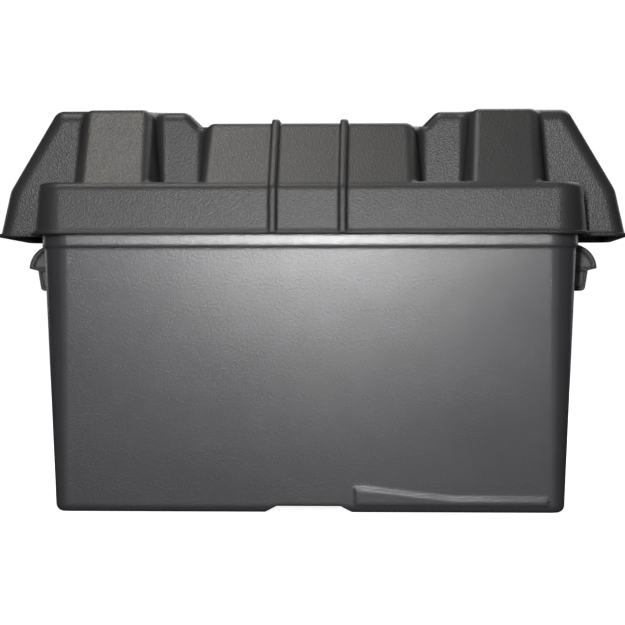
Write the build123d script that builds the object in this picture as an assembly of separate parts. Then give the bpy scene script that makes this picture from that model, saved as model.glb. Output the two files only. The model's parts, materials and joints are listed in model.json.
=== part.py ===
from build123d import *
import math
import os

# A deep cycle battery in its moulded battery box, standing on a level surface.
# Frame: origin at the centre of the tub's underside, +X along the length, -Y to the
# side that faces a user, +Z up. Every size is in millimetres.

os.makedirs("parts", exist_ok=True)

# ---------------------------------------------------------------- tub, outside sizes
TUB_LENGTH = 342.0          # at the bottom
TUB_DEPTH = 199.0           # at the bottom
TUB_CORNER_R = 9.0          # plan corner at the bottom
TUB_DRAFT_DEG = 2.65        # the walls lean out as they rise
TUB_TOP_Z = 200.0
TUB_WALL = 3.0
TUB_FLOOR = 3.5
TUB_BOTTOM_R = 5.0
TUB_INSIDE_R = 3.0
BAND_Z = 177.6              # lower edge of the thicker rim band
BAND_PROUD = 1.3
BAND_EDGE_R = 1.0
BAND_FOOT_R = 1.2           # rounding of the band's lower edge
SEAT_Z = 8.0                # what the battery stands on inside
SEAT_RIBS_X = (60.0, 100.0, 140.0)
SEAT_RIB_HALF = 75.0
SEAT_RIB_T = 4.0
CHANNEL_TOP = 43.0          # strap channel across the underside
CHANNEL_MOUTH = 59.0
CHANNEL_RISE = 4.4
HUMP_GROW = 8.5             # the floor's hump over the channel is this much wider each side
FOOT_PROUD = 1.0            # foot bands low on the long walls
FOOT_EDGE_R = 0.8
FOOT_LOW_Z = 10.0
FOOT_HIGH_Z = 17.0
FOOT_START_X = 31.0
FOOT_FLAT = 4.0             # level stretch before it slopes down
FOOT_BEND_X = 95.0
FOOT_END_X = 160.0

# ---------------------------------------------------------------- tub, end grips
GRIP_HALF = 52.0
GRIP_TOP_Z = 181.5
GRIP_TIP_X = 196.5
GRIP_TIP_Z = 164.5
GRIP_PLATE = 3.0
LEG_FROM_Y = 38.0           # legs stand between here and GRIP_HALF
LEG_TOP_X = 190.6
LEG_TOP_Z = 163.0
LEG_LOW_X = 188.2
LEG_LOW_Z = 149.0
LEG_RIM = 1.8
LEG_POCKET = 3.0
LEG_TOE_R = 3.0
LEG_CLEAR = 5.0             # the opening between the legs is cut this far past them

# ---------------------------------------------------------------- lid, outside sizes
LID_LENGTH = 372.0          # skirt, at the rim
LID_DEPTH = 232.0
LID_CORNER_R = 20.0
LID_WALL = 3.0
RIM_Z = 186.0
LEDGE_Z = 220.0             # top of the skirt, where the roof starts
DECK_Z = 263.2              # centre of the roof
TOP_Z = 273.5               # end blocks
SKIRT_LEAN_DEG = 5.0
FLANGE_T = 2.5
FLANGE_PROUD = 1.8
FLANGE_WING_R = 12.0
FLANGE_EDGE_R = 0.8
ROOF_Y = 110.6              # half depth of the roof at the ledge
BLOCK_Y = 66.0              # half depth at the top, and of the wings
WING_X = 215.5              # half length of the wings at the rim
WING_BEND_X = 208.4
WING_BEND_Z = 218.0
WING_BEND_R = 15.0
WING_TOP_X = 175.8
WING_TOP_Z = TOP_Z - 0.2    # the end blocks stand a little proud of the wings
WING_START_X = 130.0        # hidden in the end blocks
WING_EDGE_R = 9.0
STEP_LOW_X = 76.5           # the roof steps up from the deck to the end blocks
STEP_HIGH_X = 86.5
STEP_R = 8.0
STEP_FOOT_R = 3.0
ROOF_DRAFT_DEG = 5.0        # the walls of the pockets and piers lean in as they rise
ROOF_BASE_Z = 214.0         # where the roof's outline below is measured
ROOF_EDGE_R = 7.0
BAY_X = 73.0                # middle bay, half length at its foot
POCKET_Y = 54.0             # back of the pockets beside the middle bay
POCKET_IN_X = 76.6
POCKET_OUT_X = 103.8
POCKET_CORNER_R = 3.0
PIER_IN_X = 105.7           # piers between the pockets and the wings
PIER_OUT_X = 155.0
PIER_BACK_X = 164.0         # the piers run on into the wings
PIER_BACK_Y = 47.0
OUTLINE_SPARE = 0.6         # the roof's outline stands this far outside its leaning faces
LEDGE_RISE = 1.0            # the skirt's top stands this far over the roof's foot
SKIRT_TOP_R = 6.0
INNER_CORNER = 0.6          # shares of the wall by which the cavity's corners and radii shrink
INNER_ROUND = 0.8
INNER_BEND = 0.3
INNER_STEP = 0.4
INNER_SLOPE = 1.1
PIER_FOOT_R = 3.0           # where the piers meet the wings
LEDGE_FOOT_R = 2.5          # where the roof and the wings meet the ledge
FRONT_Y = 60.0              # the roof's sloping fronts lie outside this
TALL_EDGE = 20.0            # edges that run up a wall are taller than this
GUIDE_X = 23.3              # strap guide ribs
GUIDE_W = 5.5
GUIDE_H = 2.6
GUIDE_BEND_R = 8.0
GUIDE_KNEE_R = 6.0
GUIDE_EDGE_R = 1.6
GUSSET_X = (60.0, 130.0)    # inside the skirt, standing on the tub's rim
GUSSET_Y = (104.0, 112.4)
GUSSET_TOP_Z = 217.6
GUSSET_T = 3.0

# ---------------------------------------------------------------- battery
CASE_LENGTH = 326.0
CASE_DEPTH = 169.0
CASE_WALL = 2.8
CASE_CORNER_R = 6.0
CASE_FLOOR = 3.5
CASE_TOP_Z = 190.0
CASE_BOTTOM_R = 2.0
CELLS = 6
CELL_PITCH = 53.7
PARTITION = 2.0
REST_H = 8.0                # ribs that the plates stand on
REST_T = 3.0
REST_Y = (-65.0, -25.0, 25.0, 65.0)
COVER_LENGTH = 330.0
COVER_DEPTH = 173.0
COVER_Z = 186.0
COVER_TOP_Z = 214.0
COVER_PLATE = 4.0
COVER_CORNER_R = 8.0
COVER_EDGE_R = 4.0
JOINT_GAP = 0.2             # between the cover's lip and the case

PLATE_Y = 152.0
PLATE_H = 138.0
POS_PLATE_T = 2.4
NEG_PLATE_T = 1.9
POS_PLATES = 7
SHEET_T = 0.9               # envelope separator sheet
SHEET_GAP = 0.15
SHEET_RISE = 2.0            # the sheets stand this far above the plates
LUG_W = 14.0
LUG_H = 12.0
STRAP_Y = 58.0              # centre of the straps, either side of the middle
STRAP_D = 22.0
STRAP_T = 7.0
WELD_LUG_T = 4.0
WELD_LUG_H = 18.0
WELD_R = 6.0
WELD_CLEAR = 0.1
WELD_EDGE = 2.0             # lead left above each weld
STRAP_END_GAP = 1.0         # between a strap and the partitions

POST_X = (CELLS - 1) / 2 * CELL_PITCH
POST_Y = -STRAP_Y
COLUMN_R = 8.0
BUSH_R = 13.0
BUSH_BORE_R = 8.05
BUSH_LOW_Z = 206.0
BUSH_TOP_Z = 216.5
BUSH_FIT = 0.02
BUSH_COLLAR = 3.0           # thickness of the cover's collar round the bushing
BUSH_STAND = 0.5            # the bushing stands this far above the collar
TAB_T = 6.0
TAB_POST_R = 12.0
TAB_STUD_R = 10.0
TAB_EDGE_R = 1.2
STUD_OFFSET = 27.0
STUD_R = 3.97
STUD_FIT = 0.01
STUD_NECK_Z = 236.7         # a turned neck above the wing nut
STUD_NECK_R = 3.4
STUD_FREE_Z = 238.2         # free end, above the nut's wings
STUD_TOP_Z = 251.0
STUD_CHAMFER = 0.8
POST_H = 16.0
POS_POST_R = 9.5            # the positive post is the thicker one
NEG_POST_R = 8.7
POST_TAPER_R = 0.8
POST_EDGE_R = 0.8
NUT_BORE_R = 4.03
NUT_HUB_R = 7.5
NUT_HUB_TAPER = 1.2
NUT_H = 9.0
WING_REACH = 15.0
WING_H = 14.0
WING_T = 3.2
WING_ROUND = 1.2
WASHER_R = 9.0
WASHER_BORE_R = 4.23
WASHER_T = 1.6

CAP_LENGTH = 140.0
CAP_DEPTH = 36.0
CAP_Y = 12.0
CAP_H = 9.0
CAP_CORNER_R = 8.0
CAP_EDGE_R = 2.5
CAP_RIM = 9.0               # round the recess in its top
CAP_RECESS = 1.2
CAP_GAP = 1.6               # the seals hold the cap this far above the cover
PLUG_R = 9.0
PLUG_BORE_R = 9.1
PLUG_LENGTH = 12.0
PLUG_WALL = 2.0
SEAL_R = 11.5
SEAL_BORE_R = 9.05

# ---------------------------------------------------------------- derived and shared
OVER = 1.0                  # cutting shapes reach this far past what they cut
NEAR = 0.1                  # tolerance for picking edges and corners by position
TAN_DRAFT = math.tan(math.radians(TUB_DRAFT_DEG))
PLATE_Z = SEAT_Z + CASE_FLOOR + REST_H
STRAP_Z = PLATE_Z + PLATE_H + LUG_H
WELD_Z = STRAP_Z + WELD_LUG_H - WELD_R - WELD_EDGE
PLATE_STEP = (POS_PLATE_T + NEG_PLATE_T) / 2 + SHEET_T + 2 * SHEET_GAP


# ---------------------------------------------------------------- helpers
def save(name, shape):
    export_step(shape, f"parts/{name}.step")


def box(x0, x1, y0, y1, z0, z1):
    """Block between two opposite corners."""
    solid = Box(x1 - x0, y1 - y0, z1 - z0, align=(Align.MIN, Align.MIN, Align.MIN))
    return Pos(x0, y0, z0) * solid


def rod(x, y, z0, z1, radius):
    """Upright cylinder."""
    solid = Cylinder(radius, z1 - z0, align=(Align.CENTER, Align.CENTER, Align.MIN))
    return Pos(x, y, z0) * solid


def upright_block(length, depth, corner_r, z0, z1):
    """Block with rounded plan corners, centred on the Z axis."""
    return extrude(Plane.XY.offset(z0) * RectangleRounded(length, depth, corner_r), amount=z1 - z0)


def drafted_block(length, depth, corner_r, z0, z1, lean_deg):
    """Rounded block, length x depth at z0, whose walls lean in by lean_deg as it rises."""
    section = Plane.XY.offset(z0) * RectangleRounded(length, depth, corner_r)
    return extrude(section, amount=z1 - z0, taper=lean_deg)


def outline(points):
    return make_face(Polyline(*points, close=True))


def mirrored(points):
    """Closed outline from the points on the +X side, mirrored about X = 0."""
    return outline(points + [(-x, y) for x, y in reversed(points)])


def rounded(face, radius, wanted):
    """Round the corners of a flat face that wanted() picks by their X and Y."""
    return fillet([v for v in face.vertices() if wanted(v.X, v.Y)], radius)


def pick(solid, wanted):
    """Edges that wanted() picks by centre and by box size."""
    return [e for e in solid.edges() if wanted(e.center(), e.bounding_box().size)]


def both_ends(solid):
    return solid + mirror(solid, about=Plane.YZ)


# ---------------------------------------------------------------- lid
def lid_skirt(inset):
    """Skirt block from the rim to the ledge; inset moves every face inwards."""
    length = LID_LENGTH - 2 * inset
    depth = LID_DEPTH - 2 * inset
    top = LEDGE_Z + LEDGE_RISE - inset
    skirt = drafted_block(length, depth, LID_CORNER_R - INNER_CORNER * inset, RIM_Z, top, SKIRT_LEAN_DEG)
    return fillet(skirt.edges().group_by(Axis.Z)[-1], SKIRT_TOP_R - INNER_ROUND * inset)


def end_profile(inset, high):
    """Roof seen from the front: deck, steps, end blocks up to high, and sloping ends."""
    top = high - inset
    deck = DECK_Z - inset
    face = mirrored([
        (WING_X - inset, RIM_Z),
        (WING_BEND_X - inset, WING_BEND_Z - INNER_BEND * inset),
        (WING_TOP_X - inset, top),
        (STEP_HIGH_X - INNER_STEP * inset, top),
        (STEP_LOW_X - INNER_STEP * inset, deck),
    ])
    face = rounded(face, WING_BEND_R, lambda x, z: abs(z - WING_BEND_Z) < 1.2)
    face = rounded(face, STEP_R - inset, lambda x, z: z > top - NEAR)
    return rounded(face, STEP_FOOT_R + inset, lambda x, z: abs(z - deck) < NEAR)


def cross_profile(inset):
    """Roof seen from the end: both long sides lean in towards the top."""
    face = mirrored([
        (ROOF_Y - inset, RIM_Z),
        (ROOF_Y - inset, LEDGE_Z - inset),
        (BLOCK_Y - INNER_SLOPE * inset, TOP_Z - inset),
    ])
    return rounded(face, ROOF_EDGE_R - inset, lambda y, z: z > TOP_Z - inset - NEAR)


def roof_outline(inset):
    """Plan of the middle bay, the pockets and the piers at the roof's foot."""
    side = ROOF_Y + OUTLINE_SPARE - inset
    quarter = [
        (BAY_X - inset, side),
        (POCKET_IN_X - inset, POCKET_Y - inset),
        (POCKET_OUT_X + inset, POCKET_Y - inset),
        (PIER_IN_X + inset, side),
        (PIER_OUT_X - inset, side),
        (PIER_BACK_X - inset, PIER_BACK_Y - inset),
    ]
    half = [(x, -y) for x, y in quarter] + [(x, y) for x, y in reversed(quarter)]
    return rounded(mirrored(half), POCKET_CORNER_R, lambda x, y: abs(abs(y) - POCKET_Y + inset) < NEAR)


def lid_roof(inset):
    """Roof with its middle bay, pockets and piers, without the wings."""
    plan = Plane.XY.offset(ROOF_BASE_Z) * roof_outline(inset)
    prism = extrude(plan, amount=TOP_Z - ROOF_BASE_Z, taper=ROOF_DRAFT_DEG)
    side_view = extrude(Plane.XZ * end_profile(inset, TOP_Z), amount=LID_DEPTH, both=True)
    end_view = extrude(Plane.YZ * cross_profile(inset), amount=LID_LENGTH, both=True)
    roof = prism & side_view & end_view

    def leaning(c, s):
        return abs(c.Y) > FRONT_Y and s.Z > TALL_EDGE

    def deck_edge(c, s):
        return abs(c.Z - DECK_Z + inset) < NEAR and abs(c.X) < NEAR and abs(c.Y) > FRONT_Y

    return fillet(pick(roof, lambda c, s: leaning(c, s) or deck_edge(c, s)), ROOF_EDGE_R - inset)


def lid_wings(inset):
    """The two end blocks with the wings over the tub's ends."""
    wing = extrude(Plane.XZ * end_profile(inset, WING_TOP_Z), amount=BLOCK_Y - inset, both=True)
    wing = wing & box(WING_START_X, WING_X, -BLOCK_Y, BLOCK_Y, RIM_Z, TOP_Z)

    def long_edge(c, s):
        on_side = abs(abs(c.Y) - BLOCK_Y + inset) < NEAR
        return on_side and c.X > WING_START_X + NEAR and c.Z > RIM_Z + NEAR

    return both_ends(fillet(pick(wing, long_edge), WING_EDGE_R - inset))


def lid_outside():
    body = lid_roof(0) + lid_wings(0) + lid_skirt(0)

    def pier_foot(c, s):
        return abs(abs(c.Y) - BLOCK_Y) < OUTLINE_SPARE and abs(c.X) < PIER_BACK_X and s.Z > TALL_EDGE

    def ledge_foot(c, s):
        inside_skirt = abs(c.Y) < ROOF_Y + LEDGE_FOOT_R and abs(c.X) < LID_LENGTH / 2 - LEDGE_FOOT_R
        return abs(c.Z - LEDGE_Z) < LEDGE_FOOT_R and inside_skirt

    body = fillet(pick(body, pier_foot), PIER_FOOT_R)
    return fillet(pick(body, ledge_foot), LEDGE_FOOT_R)


def strap_guide():
    """Rib that follows the lid's outline from rim to rim, to keep a strap in place."""
    lean = math.tan(math.radians(SKIRT_LEAN_DEG))
    slope = (ROOF_Y - BLOCK_Y) / (TOP_Z - LEDGE_Z)
    skirt_y = LID_DEPTH / 2 + GUIDE_H
    roof_y = ROOF_Y + GUIDE_H * math.hypot(1, slope)
    bend = (roof_y + slope * LEDGE_Z - skirt_y - lean * RIM_Z) / (slope - lean)
    deck = DECK_Z + GUIDE_H
    section = mirrored([
        (skirt_y, RIM_Z),
        (skirt_y - lean * (bend - RIM_Z), bend),
        (roof_y - slope * (deck - LEDGE_Z), deck),
    ])
    section = rounded(section, GUIDE_BEND_R, lambda y, z: abs(z - bend) < NEAR)
    section = rounded(section, GUIDE_KNEE_R, lambda y, z: abs(z - deck) < NEAR)
    rib = extrude(Plane.YZ * section, amount=GUIDE_W / 2, both=True)
    rib = rib & box(-GUIDE_W, GUIDE_W, -LID_DEPTH, LID_DEPTH, RIM_Z + OVER, TOP_Z)
    long_edges = pick(rib, lambda c, s: abs(abs(c.X) - GUIDE_W / 2) < NEAR and c.Z > RIM_Z + 2 * OVER)
    return fillet(long_edges, GUIDE_EDGE_R)


def rim_flange():
    """Thin lip round the whole lower edge."""
    grow = 2 * FLANGE_PROUD
    skirt = RectangleRounded(LID_LENGTH + grow, LID_DEPTH + grow, LID_CORNER_R + FLANGE_PROUD)
    wings = RectangleRounded(2 * WING_X + grow, 2 * BLOCK_Y + grow, FLANGE_WING_R)
    lip = extrude(Plane.XY.offset(RIM_Z) * (skirt + wings), amount=FLANGE_T)
    return fillet(pick(lip, lambda c, s: s.Z < NEAR), FLANGE_EDGE_R)


def lid_gussets():
    """Eight plates inside the skirt that rest on the tub's rim."""
    return [box(end * x - GUSSET_T / 2, end * x + GUSSET_T / 2,
                min(side * y for y in GUSSET_Y), max(side * y for y in GUSSET_Y), TUB_TOP_Z, GUSSET_TOP_Z)
            for x in GUSSET_X for end in (-1, 1) for side in (-1, 1)]


def make_lid():
    body = lid_outside() + rim_flange()
    for x in (-GUIDE_X, GUIDE_X):
        body += Pos(x, 0, 0) * strap_guide()
    body -= lid_roof(LID_WALL) + lid_wings(LID_WALL) + lid_skirt(LID_WALL)
    for gusset in lid_gussets():
        body += gusset
    return body


save("box_lid", make_lid())


# ---------------------------------------------------------------- tub
def tub_walls(outset):
    """Drafted outside of the tub, from the floor up into the rim band."""
    return drafted_block(TUB_LENGTH + 2 * outset, TUB_DEPTH + 2 * outset, TUB_CORNER_R + outset,
                         0, BAND_Z + OVER, -TUB_DRAFT_DEG)


def rim_band():
    """Straight, thicker band round the rim, which the lid slips over."""
    grown = 2 * (BAND_Z * TAN_DRAFT + BAND_PROUD)
    corner = TUB_CORNER_R + BAND_Z * TAN_DRAFT + BAND_PROUD
    section = RectangleRounded(TUB_LENGTH + grown, TUB_DEPTH + grown, corner)
    band = extrude(Plane.XY.offset(BAND_Z) * section, amount=TUB_TOP_Z - BAND_Z)
    band = fillet(band.edges().group_by(Axis.Z)[-1], BAND_EDGE_R)
    return fillet(band.edges().group_by(Axis.Z)[0], BAND_FOOT_R)


def foot_bands():
    """Low step along the foot of each long wall; the far side is the near side turned about."""
    step = outline([
        (FOOT_START_X, TUB_BOTTOM_R),
        (FOOT_END_X, TUB_BOTTOM_R),
        (FOOT_END_X, FOOT_LOW_Z),
        (FOOT_BEND_X, FOOT_LOW_Z),
        (FOOT_START_X + FOOT_FLAT, FOOT_HIGH_Z),
        (FOOT_START_X, FOOT_HIGH_Z),
    ])
    near = extrude(Plane.XZ * step, amount=TUB_DEPTH)
    bands = tub_walls(FOOT_PROUD) & (near + Rot(0, 0, 180) * near)

    def outer_edge(c, s):
        return abs(c.Y) > TUB_DEPTH / 2 + FOOT_PROUD / 2 and c.Z > TUB_BOTTOM_R + NEAR

    return fillet(pick(bands, outer_edge), FOOT_EDGE_R)


def wall_x(z):
    """Outside of an end wall at height z."""
    return TUB_LENGTH / 2 + z * TAN_DRAFT


def hood_arc(shrink):
    """Curved top of a grip, from its tip up to the rim, and moved inwards by shrink."""
    root_x = wall_x(BAND_Z)
    return EllipticalCenterArc((root_x - OVER, GRIP_TIP_Z), GRIP_TIP_X - root_x + OVER - shrink,
                               GRIP_TOP_Z - GRIP_TIP_Z - shrink, start_angle=0, arc_size=90)


def hood_section(shrink, low_z):
    """Quarter oval between the wall and the hood, seen from the front."""
    arc = hood_arc(shrink)
    inner_x = wall_x(LEG_LOW_Z) - TUB_WALL / 2
    path = [((arc @ 1).X, (arc @ 1).Y), (inner_x, (arc @ 1).Y), (inner_x, low_z),
            (LEG_TOP_X - shrink, low_z), ((arc @ 0).X, (arc @ 0).Y)]
    return make_face([arc, Polyline(*path)])


def leg_section(shrink):
    """Block under the hood, seen from the front; it narrows downwards."""
    inner_x = wall_x(LEG_LOW_Z) - TUB_WALL / 2
    face = outline([
        (inner_x, LEG_TOP_Z + OVER),
        (LEG_TOP_X - shrink, LEG_TOP_Z + OVER),
        (LEG_LOW_X - shrink, LEG_LOW_Z + shrink),
        (inner_x, LEG_LOW_Z + shrink),
    ])
    toe_x, toe_z = LEG_LOW_X - shrink, LEG_LOW_Z + shrink
    return rounded(face, LEG_TOE_R - shrink / 2, lambda x, z: x > toe_x - NEAR and z < toe_z + NEAR)


def end_grip():
    """Moulded hand grip on the +X end: a hooked hood on two pocketed legs."""
    hood = hood_section(0, LEG_TOP_Z)
    grip = extrude(Plane.XZ * (hood + leg_section(0)), amount=GRIP_HALF, both=True)
    hollow = hood_section(GRIP_PLATE, LEG_TOP_Z - OVER) + leg_section(-LEG_CLEAR)
    grip -= extrude(Plane.XZ * hollow, amount=LEG_FROM_Y, both=True)
    web = hood_section(GRIP_PLATE, LEG_TOP_Z + LEG_RIM) + leg_section(LEG_RIM)
    pocket = extrude(Plane.XZ * web, amount=GRIP_HALF, both=True)
    pocket -= box(0, WING_X, -GRIP_HALF, GRIP_HALF, LEG_TOP_Z, LEG_TOP_Z + LEG_RIM)
    pocket -= box(0, WING_X, LEG_POCKET - GRIP_HALF, GRIP_HALF - LEG_POCKET, 0, TUB_TOP_Z)
    return grip - pocket


def strap_channel():
    """Channel for a hold-down strap across the underside."""
    section = mirrored([(CHANNEL_MOUTH / 2, 0), (CHANNEL_TOP / 2, CHANNEL_RISE)])
    section += Pos(0, -OVER) * Rectangle(CHANNEL_MOUTH, 2 * OVER)
    return extrude(Plane.XZ * section, amount=TUB_DEPTH, both=True)


def tub_cavity():
    """Inside of the tub, with the hump over the channel and the seat ribs left in."""
    grown = 2 * (TUB_FLOOR * TAN_DRAFT - TUB_WALL)
    cavity = drafted_block(TUB_LENGTH + grown, TUB_DEPTH + grown, TUB_CORNER_R - TUB_WALL / 2,
                           TUB_FLOOR, TUB_TOP_Z + OVER, -TUB_DRAFT_DEG)
    cavity = fillet(cavity.edges().group_by(Axis.Z)[0], TUB_INSIDE_R)
    hump = mirrored([
        (CHANNEL_MOUTH / 2 + HUMP_GROW, TUB_FLOOR - OVER),
        (CHANNEL_TOP / 2 + HUMP_GROW, SEAT_Z),
    ])
    cavity -= extrude(Plane.XZ * hump, amount=TUB_DEPTH, both=True)
    for x in SEAT_RIBS_X + tuple(-x for x in SEAT_RIBS_X):
        half = SEAT_RIB_T / 2
        cavity -= box(x - half, x + half, -SEAT_RIB_HALF, SEAT_RIB_HALF, TUB_FLOOR - OVER, SEAT_Z)
    return cavity


def make_tub():
    walls = tub_walls(0)
    walls = fillet(walls.edges().group_by(Axis.Z)[0], TUB_BOTTOM_R)
    body = walls + foot_bands() + rim_band() + both_ends(end_grip())
    return body - strap_channel() - tub_cavity()


save("box_tub", make_tub())


# ---------------------------------------------------------------- battery case and cover
def cell_x(cell):
    """Middle of a cell, counted from 0 at the -X end."""
    return (cell - (CELLS - 1) / 2) * CELL_PITCH


def make_case():
    outer = upright_block(CASE_LENGTH, CASE_DEPTH, CASE_CORNER_R, SEAT_Z, CASE_TOP_Z)
    outer = fillet(outer.edges().group_by(Axis.Z)[0], CASE_BOTTOM_R)
    inside_y = CASE_DEPTH / 2 - CASE_WALL
    for cell in range(CELLS):
        x = cell_x(cell)
        half = (CELL_PITCH - PARTITION) / 2
        room = box(x - half, x + half, -inside_y, inside_y, SEAT_Z + CASE_FLOOR, CASE_TOP_Z)
        for y in REST_Y:
            room -= box(x - half, x + half, y - REST_T / 2, y + REST_T / 2, SEAT_Z + CASE_FLOOR, PLATE_Z)
        outer -= room
    for link in range(CELLS - 1):
        hole = Cylinder(WELD_R + WELD_CLEAR, PARTITION + OVER, rotation=(0, 90, 0))
        outer -= Pos(cell_x(link) + CELL_PITCH / 2, link_y(link), WELD_Z) * hole
    return outer


def link_y(link):
    """Side of the case where cells link and link + 1 are joined; it alternates."""
    return STRAP_Y if link % 2 == 0 else -STRAP_Y


def plug_places():
    return [(cell_x(cell), CAP_Y) for cell in range(CELLS)]


def make_cover():
    cover = upright_block(COVER_LENGTH, COVER_DEPTH, COVER_CORNER_R, COVER_Z, COVER_TOP_Z)
    cover = fillet(cover.edges().group_by(Axis.Z)[-1], COVER_EDGE_R)
    cover -= upright_block(CASE_LENGTH + 2 * JOINT_GAP, CASE_DEPTH + 2 * JOINT_GAP,
                           CASE_CORNER_R + JOINT_GAP, COVER_Z, CASE_TOP_Z)
    inside_y = CASE_DEPTH / 2 - CASE_WALL
    half = (CELL_PITCH - PARTITION) / 2
    for cell in range(CELLS):
        x = cell_x(cell)
        cover -= box(x - half, x + half, -inside_y, inside_y, CASE_TOP_Z, COVER_TOP_Z - COVER_PLATE)
    for x, y in plug_places():
        cover -= rod(x, y, COVER_TOP_Z - COVER_PLATE - OVER, COVER_TOP_Z + OVER, PLUG_BORE_R)
    for side in (-1, 1):
        cover += rod(side * POST_X, POST_Y, BUSH_LOW_Z, BUSH_TOP_Z - BUSH_STAND, BUSH_R + BUSH_COLLAR)
        cover -= rod(side * POST_X, POST_Y, BUSH_LOW_Z - OVER, BUSH_TOP_Z, BUSH_R)
    return cover


save("battery_case", make_case())
save("battery_cover", make_cover())


# ---------------------------------------------------------------- cells
def plate_x(cell, index):
    """Middle of a plate, counted from 0 at the -X side of its cell; even ones are negative."""
    return cell_x(cell) + (index - POS_PLATES) * PLATE_STEP


def plus_side(cell):
    """Side of the middle where a cell's positive strap runs: -1 or 1."""
    return -1 if cell % 2 == 0 else 1


def plate(x, thickness, lug_y, bottom_z):
    """Pasted grid with its lug."""
    half = thickness / 2
    top = PLATE_Z + PLATE_H
    body = box(x - half, x + half, -PLATE_Y / 2, PLATE_Y / 2, bottom_z, top)
    lug = box(x - half, x + half, lug_y - LUG_W / 2, lug_y + LUG_W / 2, top, STRAP_Z)
    return body + lug


def envelope(x):
    """Separator sheet folded round one positive plate, open at the top."""
    half = POS_PLATE_T / 2 + SHEET_GAP
    outer = half + SHEET_T
    side = PLATE_Y / 2 + SHEET_GAP
    top = PLATE_Z + PLATE_H + SHEET_RISE
    sleeve = box(x - outer, x + outer, -side - SHEET_T, side + SHEET_T, PLATE_Z, top)
    return sleeve - box(x - half, x + half, -side, side, PLATE_Z + SHEET_T, top + OVER)


def strap(cell, side, weld_to):
    """Bar cast across the lugs of one polarity, with an upright lug at a partition.

    weld_to is -1 or 1 for the partition on that side, or 0 where a post stands on the bar.
    """
    x = cell_x(cell)
    half = (CELL_PITCH - PARTITION) / 2
    reach = half - STRAP_END_GAP
    y = side * STRAP_Y
    bar = box(x - reach, x + reach, y - STRAP_D / 2, y + STRAP_D / 2, STRAP_Z, STRAP_Z + STRAP_T)
    if weld_to:
        wall = x + weld_to * half
        near = wall - weld_to * WELD_LUG_T
        bar += box(min(wall, near), max(wall, near), y - STRAP_D / 2, y + STRAP_D / 2,
                   STRAP_Z, STRAP_Z + WELD_LUG_H)
    return bar


def make_cell(cell):
    side = plus_side(cell)
    plus = [plate(plate_x(cell, i), POS_PLATE_T, side * STRAP_Y, PLATE_Z + SHEET_T)
            for i in range(1, 2 * POS_PLATES, 2)]
    minus = [plate(plate_x(cell, i), NEG_PLATE_T, -side * STRAP_Y, PLATE_Z)
             for i in range(0, 2 * POS_PLATES + 1, 2)]
    sleeves = [envelope(plate_x(cell, i)) for i in range(1, 2 * POS_PLATES, 2)]
    name = f"cell_{cell + 1}"
    save(f"{name}_positive_plates", Compound(plus))
    save(f"{name}_negative_plates", Compound(minus))
    save(f"{name}_separators", Compound(sleeves))
    save(f"{name}_positive_strap", strap(cell, side, -1 if cell > 0 else 0))
    save(f"{name}_negative_strap", strap(cell, -side, 1 if cell < CELLS - 1 else 0))


def make_welds():
    """Lead plugs that join the upright lugs through the partitions."""
    plug = Cylinder(WELD_R, PARTITION, rotation=(0, 90, 0))
    return Compound([Pos(cell_x(link) + CELL_PITCH / 2, link_y(link), WELD_Z) * plug
                     for link in range(CELLS - 1)])


for number in range(CELLS):
    make_cell(number)
save("intercell_welds", make_welds())


# ---------------------------------------------------------------- terminals
def make_terminal(side, post_r):
    """Lead casting: column down to the strap, tapered post, and a tab to the stud."""
    x = side * POST_X
    stud_y = POST_Y + STUD_OFFSET
    column = rod(x, POST_Y, STRAP_Z + STRAP_T, BUSH_TOP_Z, COLUMN_R)
    ends = [Circle(TAB_POST_R), Pos(0, STUD_OFFSET) * Circle(TAB_STUD_R)]
    tab = make_hull([edge for end in ends for edge in end.edges()])
    tab = Pos(x, POST_Y, BUSH_TOP_Z) * extrude(tab, amount=TAB_T)
    tab = fillet(tab.edges().group_by(Axis.Z)[-1], TAB_EDGE_R)
    post = Cone(post_r, post_r - POST_TAPER_R, POST_H, align=(Align.CENTER, Align.CENTER, Align.MIN))
    post = Pos(x, POST_Y, BUSH_TOP_Z + TAB_T) * fillet(post.edges().group_by(Axis.Z)[-1], POST_EDGE_R)
    hole = rod(x, stud_y, BUSH_TOP_Z - OVER, BUSH_TOP_Z + TAB_T + OVER, STUD_R)
    return column + tab + post - hole


def make_bushing(side):
    """Lead ring moulded into the cover round the column."""
    x = side * POST_X
    ring = rod(x, POST_Y, BUSH_LOW_Z, BUSH_TOP_Z, BUSH_R - BUSH_FIT)
    return ring - rod(x, POST_Y, BUSH_LOW_Z - OVER, BUSH_TOP_Z + OVER, BUSH_BORE_R)


def make_stud(side):
    """Stud set in the tab; a turned neck divides its free end from the wing nut's stretch."""
    x, y = side * POST_X, POST_Y + STUD_OFFSET
    free_end = rod(x, y, STUD_FREE_Z, STUD_TOP_Z, STUD_R)
    free_end = chamfer(free_end.edges().group_by(Axis.Z)[-1], STUD_CHAMFER)
    neck = rod(x, y, STUD_NECK_Z, STUD_FREE_Z, STUD_NECK_R)
    return rod(x, y, BUSH_TOP_Z, STUD_NECK_Z, STUD_R - STUD_FIT) + neck + free_end


def make_washer(side):
    x, y, z = side * POST_X, POST_Y + STUD_OFFSET, BUSH_TOP_Z + TAB_T
    return rod(x, y, z, z + WASHER_T, WASHER_R) - rod(x, y, z - OVER, z + WASHER_T + OVER, WASHER_BORE_R)


def nut_wing():
    """One raised wing of the nut, on its +X side."""
    shoulder = NUT_H - 1.0
    wing = outline([
        (4.5, 1.0),
        (8.5, 2.0),
        (WING_REACH - 2, WING_H - 4.5),
        (WING_REACH - 1, WING_H - 1),
        (WING_REACH - 3, WING_H),
        (9.5, WING_H - 2),
        (6.5, shoulder),
        (4.5, shoulder),
    ])
    wing = rounded(wing, WING_ROUND, lambda x, z: x > 8.0)
    return extrude(Plane.XZ * wing, amount=WING_T / 2, both=True)


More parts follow.
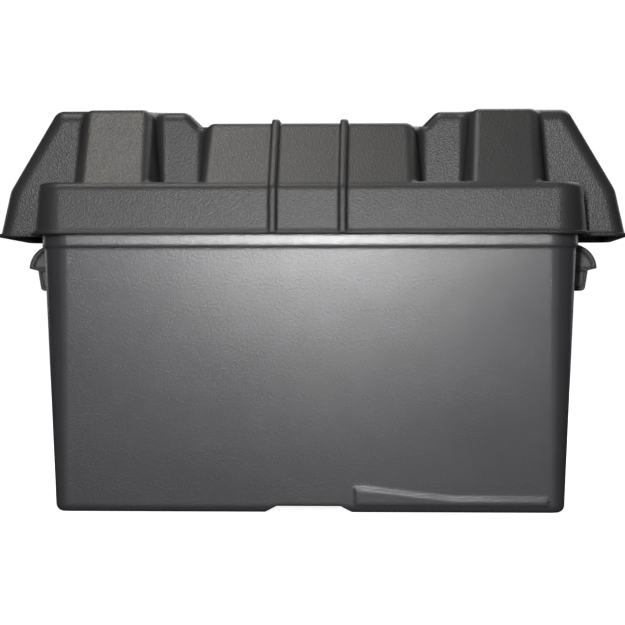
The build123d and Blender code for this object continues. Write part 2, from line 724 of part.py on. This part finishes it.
def make_wing_nut(side):
    """Hub with two raised wings."""
    x, y, z = side * POST_X, POST_Y + STUD_OFFSET, BUSH_TOP_Z + TAB_T + WASHER_T
    hub = Cone(NUT_HUB_R, NUT_HUB_R - NUT_HUB_TAPER, NUT_H, align=(Align.CENTER, Align.CENTER, Align.MIN))
    nut = hub + both_ends(nut_wing())
    return Pos(x, y, z) * nut - rod(x, y, z - OVER, z + NUT_H + OVER, NUT_BORE_R)


for sign, side, post_r in (("positive", -1, POS_POST_R), ("negative", 1, NEG_POST_R)):
    save(f"{sign}_terminal", make_terminal(side, post_r))
    save(f"{sign}_bushing", make_bushing(side))
    save(f"{sign}_stud", make_stud(side))
    save(f"{sign}_washer", make_washer(side))
    save(f"{sign}_wing_nut", make_wing_nut(side))


# ---------------------------------------------------------------- vent caps
def cap_plugs(side):
    return [(x, y) for x, y in plug_places() if x * side > 0]


def make_vent_cap(side):
    """Gang cap that closes three cells, with a hollow plug for each."""
    low = COVER_TOP_Z + CAP_GAP
    top = low + CAP_H
    plug_end = COVER_TOP_Z - PLUG_LENGTH
    bar = upright_block(CAP_LENGTH, CAP_DEPTH, CAP_CORNER_R, low, top)
    bar = fillet(bar.edges().group_by(Axis.Z)[-1], CAP_EDGE_R)
    bar -= upright_block(CAP_LENGTH - 2 * CAP_RIM, CAP_DEPTH - 2 * CAP_RIM, CAP_CORNER_R / 2,
                         top - CAP_RECESS, top + OVER)
    bar = Pos(side * CELL_PITCH * CELLS / 4, CAP_Y, 0) * bar
    for x, y in cap_plugs(side):
        bar += rod(x, y, plug_end, low + OVER, PLUG_R)
        bar -= rod(x, y, plug_end - OVER, low + PLUG_WALL, PLUG_R - PLUG_WALL)
    return bar


def make_seals(side):
    """Rubber rings under a gang cap, one round each plug."""
    low = COVER_TOP_Z
    top = low + CAP_GAP
    return Compound([rod(x, y, low, top, SEAL_R) - rod(x, y, low - OVER, top + OVER, SEAL_BORE_R)
                     for x, y in cap_plugs(side)])


for place, side in (("left", -1), ("right", 1)):
    save(f"vent_cap_{place}", make_vent_cap(side))
    save(f"vent_seals_{place}", make_seals(side))
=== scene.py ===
import json
import math

import bpy
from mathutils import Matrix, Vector

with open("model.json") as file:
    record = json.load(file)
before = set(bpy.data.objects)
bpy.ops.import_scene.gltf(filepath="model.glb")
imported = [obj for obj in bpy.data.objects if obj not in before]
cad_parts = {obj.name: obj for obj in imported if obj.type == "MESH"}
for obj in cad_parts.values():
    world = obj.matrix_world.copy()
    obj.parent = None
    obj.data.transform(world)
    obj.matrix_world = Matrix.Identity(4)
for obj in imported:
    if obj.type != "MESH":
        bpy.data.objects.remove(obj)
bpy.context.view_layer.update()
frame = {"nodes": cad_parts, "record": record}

NODES = frame["nodes"]
SLOT_OF = {part["node"]: part["material_slot"] for part in frame["record"]["subparts"]}

# Lengths are in metres, light powers in watts.

# ------------------------------------------------------------------ camera
CAMERA_DISTANCE = 1.479      # from the object's middle, level with the floor
CAMERA_HEIGHT = 0.134
CAMERA_AZIMUTH = math.radians(2.4)
CAMERA_ASIDE = -0.0015       # moves the camera along its own left and right
LENS_MM = 118.7
SENSOR_MM = 36.0
NEAREST_SEEN = 0.05
FARTHEST_SEEN = 50.0


def make_camera():
    """Level camera in front of the object, a little to its right."""
    data = bpy.data.cameras.new("camera")
    data.lens = LENS_MM
    data.sensor_width = SENSOR_MM
    data.clip_start = NEAREST_SEEN
    data.clip_end = FARTHEST_SEEN
    camera = bpy.data.objects.new("camera", data)
    sine, cosine = math.sin(CAMERA_AZIMUTH), math.cos(CAMERA_AZIMUTH)
    x = CAMERA_DISTANCE * sine + CAMERA_ASIDE * cosine
    y = -CAMERA_DISTANCE * cosine + CAMERA_ASIDE * sine
    camera.location = (x, y, CAMERA_HEIGHT)
    camera.rotation_euler = (math.pi / 2, 0.0, CAMERA_AZIMUTH)
    bpy.context.scene.collection.objects.link(camera)
    bpy.context.scene.camera = camera


# ------------------------------------------------------------------ lights and world
FRONT_POWER = 18.5
WALL_POWER = 11.5
OVERHEAD_POWER = 9.0
FILL_POWER = 3.0
BACK_POWER = 28.0
SIDE_POWER = 4.5
MIDDLE = (0.0, 0.0, 0.14)            # the object's middle, which most lights face
NEUTRAL = (1.0, 1.0, 1.0)
WARM = (1.0, 0.97, 0.91)
AMBIENT = 0.04
AMBIENT_COLOUR = (0.95, 0.97, 1.0, 1.0)
WHITE = (1.0, 1.0, 1.0, 1.0)
BACKGROUND_GLOW = 1.05               # just past white, so that no grey is left


def area_light(name, place, target, size, power, colour=NEUTRAL):
    """Rectangular soft light at place, facing target; size is its width and height."""
    data = bpy.data.lights.new(name, "AREA")
    data.shape = "RECTANGLE"
    data.size, data.size_y = size
    data.energy = power
    data.color = colour
    light = bpy.data.objects.new(name, data)
    light.location = place
    light.rotation_mode = "QUATERNION"
    light.rotation_quaternion = (Vector(target) - Vector(place)).to_track_quat("-Z", "Y")
    bpy.context.scene.collection.objects.link(light)


def make_lights():
    """A slim softbox above the camera, a wall of light behind it, an overhead lamp, and fills."""
    area_light("front_softbox", (-0.04, -1.42, 0.34), (0.0, -0.1, 0.19), (0.06, 0.4), FRONT_POWER)
    area_light("front_wall", (0.0, -2.6, 0.25), (0.0, 0.0, 0.15), (3.6, 1.6), WALL_POWER)
    overhead, lid_left = (-0.25, -0.29, 1.43), (-0.1, -0.1, 0.25)
    area_light("left_overhead", overhead, lid_left, (0.3, 0.3), OVERHEAD_POWER, WARM)
    area_light("high_fill", (0.3, -2.0, 2.2), MIDDLE, (1.4, 1.4), FILL_POWER)
    area_light("back_fill", (0.6, 1.7, 1.9), MIDDLE, (1.8, 1.4), BACK_POWER)
    for name, side in (("left_fill", -1.0), ("right_fill", 1.0)):
        area_light(name, (side * 2.0, 2.0, 0.6), MIDDLE, (1.2, 1.0), SIDE_POWER)


def background(nodes, colour, strength):
    """World background node of one colour."""
    node = nodes.new("ShaderNodeBackground")
    node.inputs["Color"].default_value = colour
    node.inputs["Strength"].default_value = strength
    return node


def make_world():
    """White to the camera, dim for everything else."""
    world = bpy.data.worlds.new("studio")
    world.use_nodes = True
    nodes, links = world.node_tree.nodes, world.node_tree.links
    nodes.clear()
    output = nodes.new("ShaderNodeOutputWorld")
    dim = background(nodes, AMBIENT_COLOUR, AMBIENT)
    white = background(nodes, WHITE, BACKGROUND_GLOW)
    path = nodes.new("ShaderNodeLightPath")
    mix = nodes.new("ShaderNodeMixShader")
    links.new(path.outputs["Is Camera Ray"], mix.inputs[0])
    links.new(dim.outputs[0], mix.inputs[1])
    links.new(white.outputs[0], mix.inputs[2])
    links.new(mix.outputs[0], output.inputs["Surface"])
    bpy.context.scene.world = world


# ------------------------------------------------------------------ floor
FLOOR_SIZE = 160.0
FLOOR_BELOW = 0.0002         # keeps the floor from lying in the plane of the tub's underside
FLOOR_GREY = (0.85, 0.85, 0.85, 1.0)
FLOOR_ROUGHNESS = 0.95
FLOOR_GLOW = 0.92            # near the object
GLOW_NEAR = 0.4              # distances from the middle between which the glow grows
GLOW_FAR = 2.4


def make_floor():
    """Pale paper that glows a little more with distance, so that it runs into the background."""
    bpy.ops.mesh.primitive_plane_add(size=FLOOR_SIZE, location=(0.0, 0.0, -FLOOR_BELOW))
    floor = bpy.context.object
    floor.name = "floor"
    paper = bpy.data.materials.new("floor_paper")
    paper.use_nodes = True
    nodes, links = paper.node_tree.nodes, paper.node_tree.links
    shader = nodes["Principled BSDF"]
    shader.inputs["Base Color"].default_value = FLOOR_GREY
    shader.inputs["Roughness"].default_value = FLOOR_ROUGHNESS
    shader.inputs["Specular IOR Level"].default_value = 0.0
    shader.inputs["Emission Color"].default_value = WHITE
    place = nodes.new("ShaderNodeTexCoord")
    distance = nodes.new("ShaderNodeVectorMath")
    distance.operation = "LENGTH"
    glow = nodes.new("ShaderNodeMapRange")
    glow.interpolation_type = "SMOOTHSTEP"
    glow.inputs["From Min"].default_value = GLOW_NEAR
    glow.inputs["From Max"].default_value = GLOW_FAR
    glow.inputs["To Min"].default_value = FLOOR_GLOW
    glow.inputs["To Max"].default_value = BACKGROUND_GLOW
    links.new(place.outputs["Object"], distance.inputs[0])
    links.new(distance.outputs["Value"], glow.inputs["Value"])
    links.new(glow.outputs[0], shader.inputs["Emission Strength"])
    floor.data.materials.append(paper)
    floor.visible_diffuse = False
    floor.visible_glossy = False


# ------------------------------------------------------------------ materials
SPAN = (0.3, 0.7)            # nearly all of a noise's values lie between these
LATE_SPAN = (0.35, 0.7)      # leaves more of the surface dark
WIDE_SPAN = (0.2, 0.8)       # a slower change
CLOUD_LIFT = 1.25            # how much lighter a plain plastic's clouds are than its tone
EDGE_SAMPLES = 6
PEBBLE_SMOOTHNESS = 0.35
GRIP_X = 0.1815              # the end grips, beyond this, have a matt texture
GRIP_FADE = 0.001
GRIP_MATT = 0.3              # added to the grips' roughness
GRID_BARS = 45.0             # wave scale that gives the bars of a plate's grid
EVEN = (1.0, 1.0, 1.0)
ALONG_X = (0.45, 1.0, 1.0)   # clouds about twice as long as high
TURNED = (1.0, 1.0, 6.0)     # marks that run around an upright axis


class Surface:
    """A Principled material that gets its detail from object coordinates, in metres."""

    def __init__(self, name, metallic=0.0, specular=0.5):
        self.material = bpy.data.materials.new(name)
        self.material.use_nodes = True
        self.nodes = self.material.node_tree.nodes
        self.links = self.material.node_tree.links
        self.shader = self.nodes["Principled BSDF"]
        self.shader.inputs["Metallic"].default_value = metallic
        self.shader.inputs["Specular IOR Level"].default_value = specular
        self.coordinates = self.nodes.new("ShaderNodeTexCoord")
        self.normal = None       # the last node that changed the normal

    def stretched(self, scale):
        """Object coordinates, scaled along each axis."""
        mapping = self.nodes.new("ShaderNodeMapping")
        mapping.inputs["Scale"].default_value = scale
        self.links.new(self.coordinates.outputs["Object"], mapping.inputs["Vector"])
        return mapping.outputs[0]

    def noise(self, size, detail, stretch=EVEN):
        """Cloudy noise whose features are about size across."""
        texture = self.nodes.new("ShaderNodeTexNoise")
        texture.inputs["Scale"].default_value = 1.0 / size
        texture.inputs["Detail"].default_value = detail
        self.links.new(self.stretched(stretch), texture.inputs["Vector"])
        return texture.outputs["Fac"]

    def cells(self, size):
        """Rounded pebbles about size across: 0 in their middles, 1 between them."""
        texture = self.nodes.new("ShaderNodeTexVoronoi")
        texture.feature = "SMOOTH_F1"
        texture.inputs["Smoothness"].default_value = PEBBLE_SMOOTHNESS
        texture.inputs["Scale"].default_value = 1.0 / size
        self.links.new(self.coordinates.outputs["Object"], texture.inputs["Vector"])
        return texture.outputs["Distance"]

    def bars(self, scale):
        """Level bars, one above another."""
        texture = self.nodes.new("ShaderNodeTexWave")
        texture.bands_direction = "Z"
        texture.inputs["Scale"].default_value = scale
        self.links.new(self.coordinates.outputs["Object"], texture.inputs["Vector"])
        return texture.outputs["Fac"]

    def aside(self):
        """Distance from the middle of the object, along its length."""
        place = self.nodes.new("ShaderNodeSeparateXYZ")
        self.links.new(self.coordinates.outputs["Object"], place.inputs[0])
        return self.worked_out("ABSOLUTE", place.outputs[0])

    def worked_out(self, operation, *values):
        """Result of a sum on the outputs of other nodes."""
        node = self.nodes.new("ShaderNodeMath")
        node.operation = operation
        for socket, value in zip(node.inputs, values):
            self.links.new(value, socket)
        return node.outputs[0]

    def ramp(self, factor, span, dark, light):
        """Colour that goes from dark to light as factor goes through span."""
        node = self.nodes.new("ShaderNodeValToRGB")
        for element, position, colour in zip(node.color_ramp.elements, span, (dark, light)):
            element.position = position
            element.color = (*colour, 1.0)
        self.links.new(factor, node.inputs[0])
        return node.outputs[0]

    def between(self, factor, span, start, end):
        """Value that goes from start to end as factor goes through span."""
        node = self.nodes.new("ShaderNodeMapRange")
        node.inputs["From Min"].default_value = span[0]
        node.inputs["From Max"].default_value = span[1]
        node.inputs["To Min"].default_value = start
        node.inputs["To Max"].default_value = end
        self.links.new(factor, node.inputs["Value"])
        return node.outputs[0]

    def colour(self, output):
        self.links.new(output, self.shader.inputs["Base Color"])

    def roughness(self, output):
        self.links.new(output, self.shader.inputs["Roughness"])

    def soften(self, radius):
        """Shades the edges as if they were rounded by radius. It comes before any relief."""
        node = self.nodes.new("ShaderNodeBevel")
        node.samples = EDGE_SAMPLES
        node.inputs["Radius"].default_value = radius
        self.links.new(node.outputs[0], self.shader.inputs["Normal"])
        self.normal = node

    def relief(self, height, depth):
        """Adds a bump layer whose full height is depth."""
        node = self.nodes.new("ShaderNodeBump")
        node.inputs["Strength"].default_value = 1.0
        node.inputs["Distance"].default_value = depth
        self.links.new(height, node.inputs["Height"])
        if self.normal is not None:
            self.links.new(self.normal.outputs[0], node.inputs["Normal"])
        self.links.new(node.outputs[0], self.shader.inputs["Normal"])
        self.normal = node


def lid_plastic():
    """Black polypropylene with a pebbled mould texture."""
    surface = Surface("lid_plastic", specular=0.28)
    tone = surface.noise(size=0.035, detail=4.0)
    surface.colour(surface.ramp(tone, LATE_SPAN, dark=(0.02, 0.02, 0.021), light=(0.024, 0.024, 0.024)))
    sheen = surface.noise(size=0.0016, detail=3.0)
    surface.roughness(surface.between(sheen, SPAN, start=0.37, end=0.44))
    surface.soften(radius=0.003)
    surface.relief(surface.cells(size=0.0012), depth=0.0001)
    surface.relief(surface.noise(size=0.0007, detail=2.0), depth=0.0001)
    return surface.material


def tub_plastic():
    """Black polypropylene, nearly smooth, with a fine grain and faint scuffs; the grips are matt."""
    surface = Surface("tub_plastic")
    scuffs = surface.noise(size=0.02, detail=5.0)
    surface.colour(surface.ramp(scuffs, SPAN, dark=(0.032, 0.032, 0.035), light=(0.035, 0.035, 0.038)))
    handled = surface.noise(size=0.045, detail=0.6, stretch=ALONG_X)
    gloss = surface.between(handled, WIDE_SPAN, start=0.225, end=0.26)
    grips = surface.between(surface.aside(), (GRIP_X - GRIP_FADE, GRIP_X), start=0.0, end=GRIP_MATT)
    surface.roughness(surface.worked_out("ADD", gloss, grips))
    surface.soften(radius=0.0035)
    surface.relief(surface.noise(size=0.0009, detail=2.0), depth=0.00011)
    return surface.material


def plain_plastic(name, tone, roughness, grain, depth):
    """Moulded plastic of about this tone and roughness, with a grain of this size and depth."""
    surface = Surface(name)
    clouds = surface.noise(size=0.02, detail=4.0)
    light = tuple(CLOUD_LIFT * value for value in tone)
    surface.colour(surface.ramp(clouds, LATE_SPAN, tone, light))
    sheen = surface.noise(size=0.004, detail=3.0)
    surface.roughness(surface.between(sheen, SPAN, start=roughness - 0.05, end=roughness + 0.08))
    surface.relief(surface.noise(size=grain, detail=2.0), depth)
    return surface.material


def cast_lead():
    """Dull cast lead with oxide clouds and small pits."""
    surface = Surface("lead", metallic=0.85)
    oxide = surface.noise(size=0.006, detail=5.0)
    surface.colour(surface.ramp(oxide, SPAN, dark=(0.2, 0.205, 0.22), light=(0.44, 0.45, 0.47)))
    sheen = surface.noise(size=0.002, detail=4.0)
    surface.roughness(surface.between(sheen, SPAN, start=0.42, end=0.7))
    surface.relief(surface.noise(size=0.0012, detail=4.0), depth=0.00012)
    return surface.material


def pasted_plate(name, dark, light):
    """Battery paste pressed into a lead grid, whose bars show through faintly."""
    surface = Surface(name)
    grain = surface.noise(size=0.0015, detail=5.0)
    surface.colour(surface.ramp(grain, SPAN, dark, light))
    surface.roughness(surface.between(grain, SPAN, start=0.7, end=0.95))
    surface.relief(surface.bars(GRID_BARS), depth=0.0001)
    surface.relief(grain, depth=0.0001)
    return surface.material


def bright_steel(name, roughness):
    """Stainless steel with fine turning marks."""
    surface = Surface(name, metallic=1.0)
    tone = surface.noise(size=0.004, detail=4.0)
    surface.colour(surface.ramp(tone, SPAN, dark=(0.5, 0.5, 0.5), light=(0.66, 0.66, 0.65)))
    marks = surface.noise(size=0.0004, detail=3.0, stretch=TURNED)
    surface.roughness(surface.between(marks, SPAN, start=roughness - 0.06, end=roughness + 0.1))
    surface.relief(marks, depth=0.00003)
    return surface.material


PLAIN_PLASTICS = {           # tone, roughness, size of the grain, depth of the grain
    "case_plastic": ((0.018, 0.018, 0.02), 0.38, 0.0012, 0.00004),
    "cover_plastic": ((0.022, 0.022, 0.024), 0.42, 0.0009, 0.00006),
    "cap_plastic": ((0.03, 0.03, 0.032), 0.5, 0.0007, 0.00008),
    "separator_sheet": ((0.6, 0.6, 0.56), 0.6, 0.0006, 0.00005),
    "seal_rubber": ((0.015, 0.015, 0.015), 0.75, 0.0008, 0.00005),
}
PASTES = {                   # darkest and lightest colour
    "positive_plate": ((0.06, 0.028, 0.018), (0.12, 0.06, 0.04)),
    "negative_plate": ((0.16, 0.165, 0.175), (0.3, 0.31, 0.32)),
}
STEELS = {"stud_steel": 0.3, "washer_steel": 0.34, "nut_steel": 0.4}       # roughness


def make_materials():
    """Every material, under the name of its slot."""
    made = {"lid_plastic": lid_plastic(), "tub_plastic": tub_plastic(), "lead": cast_lead()}
    made.update({name: plain_plastic(name, *look) for name, look in PLAIN_PLASTICS.items()})
    made.update({name: pasted_plate(name, *colours) for name, colours in PASTES.items()})
    made.update({name: bright_steel(name, roughness) for name, roughness in STEELS.items()})
    return made


def paint():
    """Gives every node the material of its slot."""
    made = make_materials()
    for name, node in NODES.items():
        node.data.materials.clear()
        node.data.materials.append(made[SLOT_OF[name]])


bpy.context.scene.view_settings.view_transform = "Standard"
make_camera()
make_world()
make_lights()
make_floor()
paint()
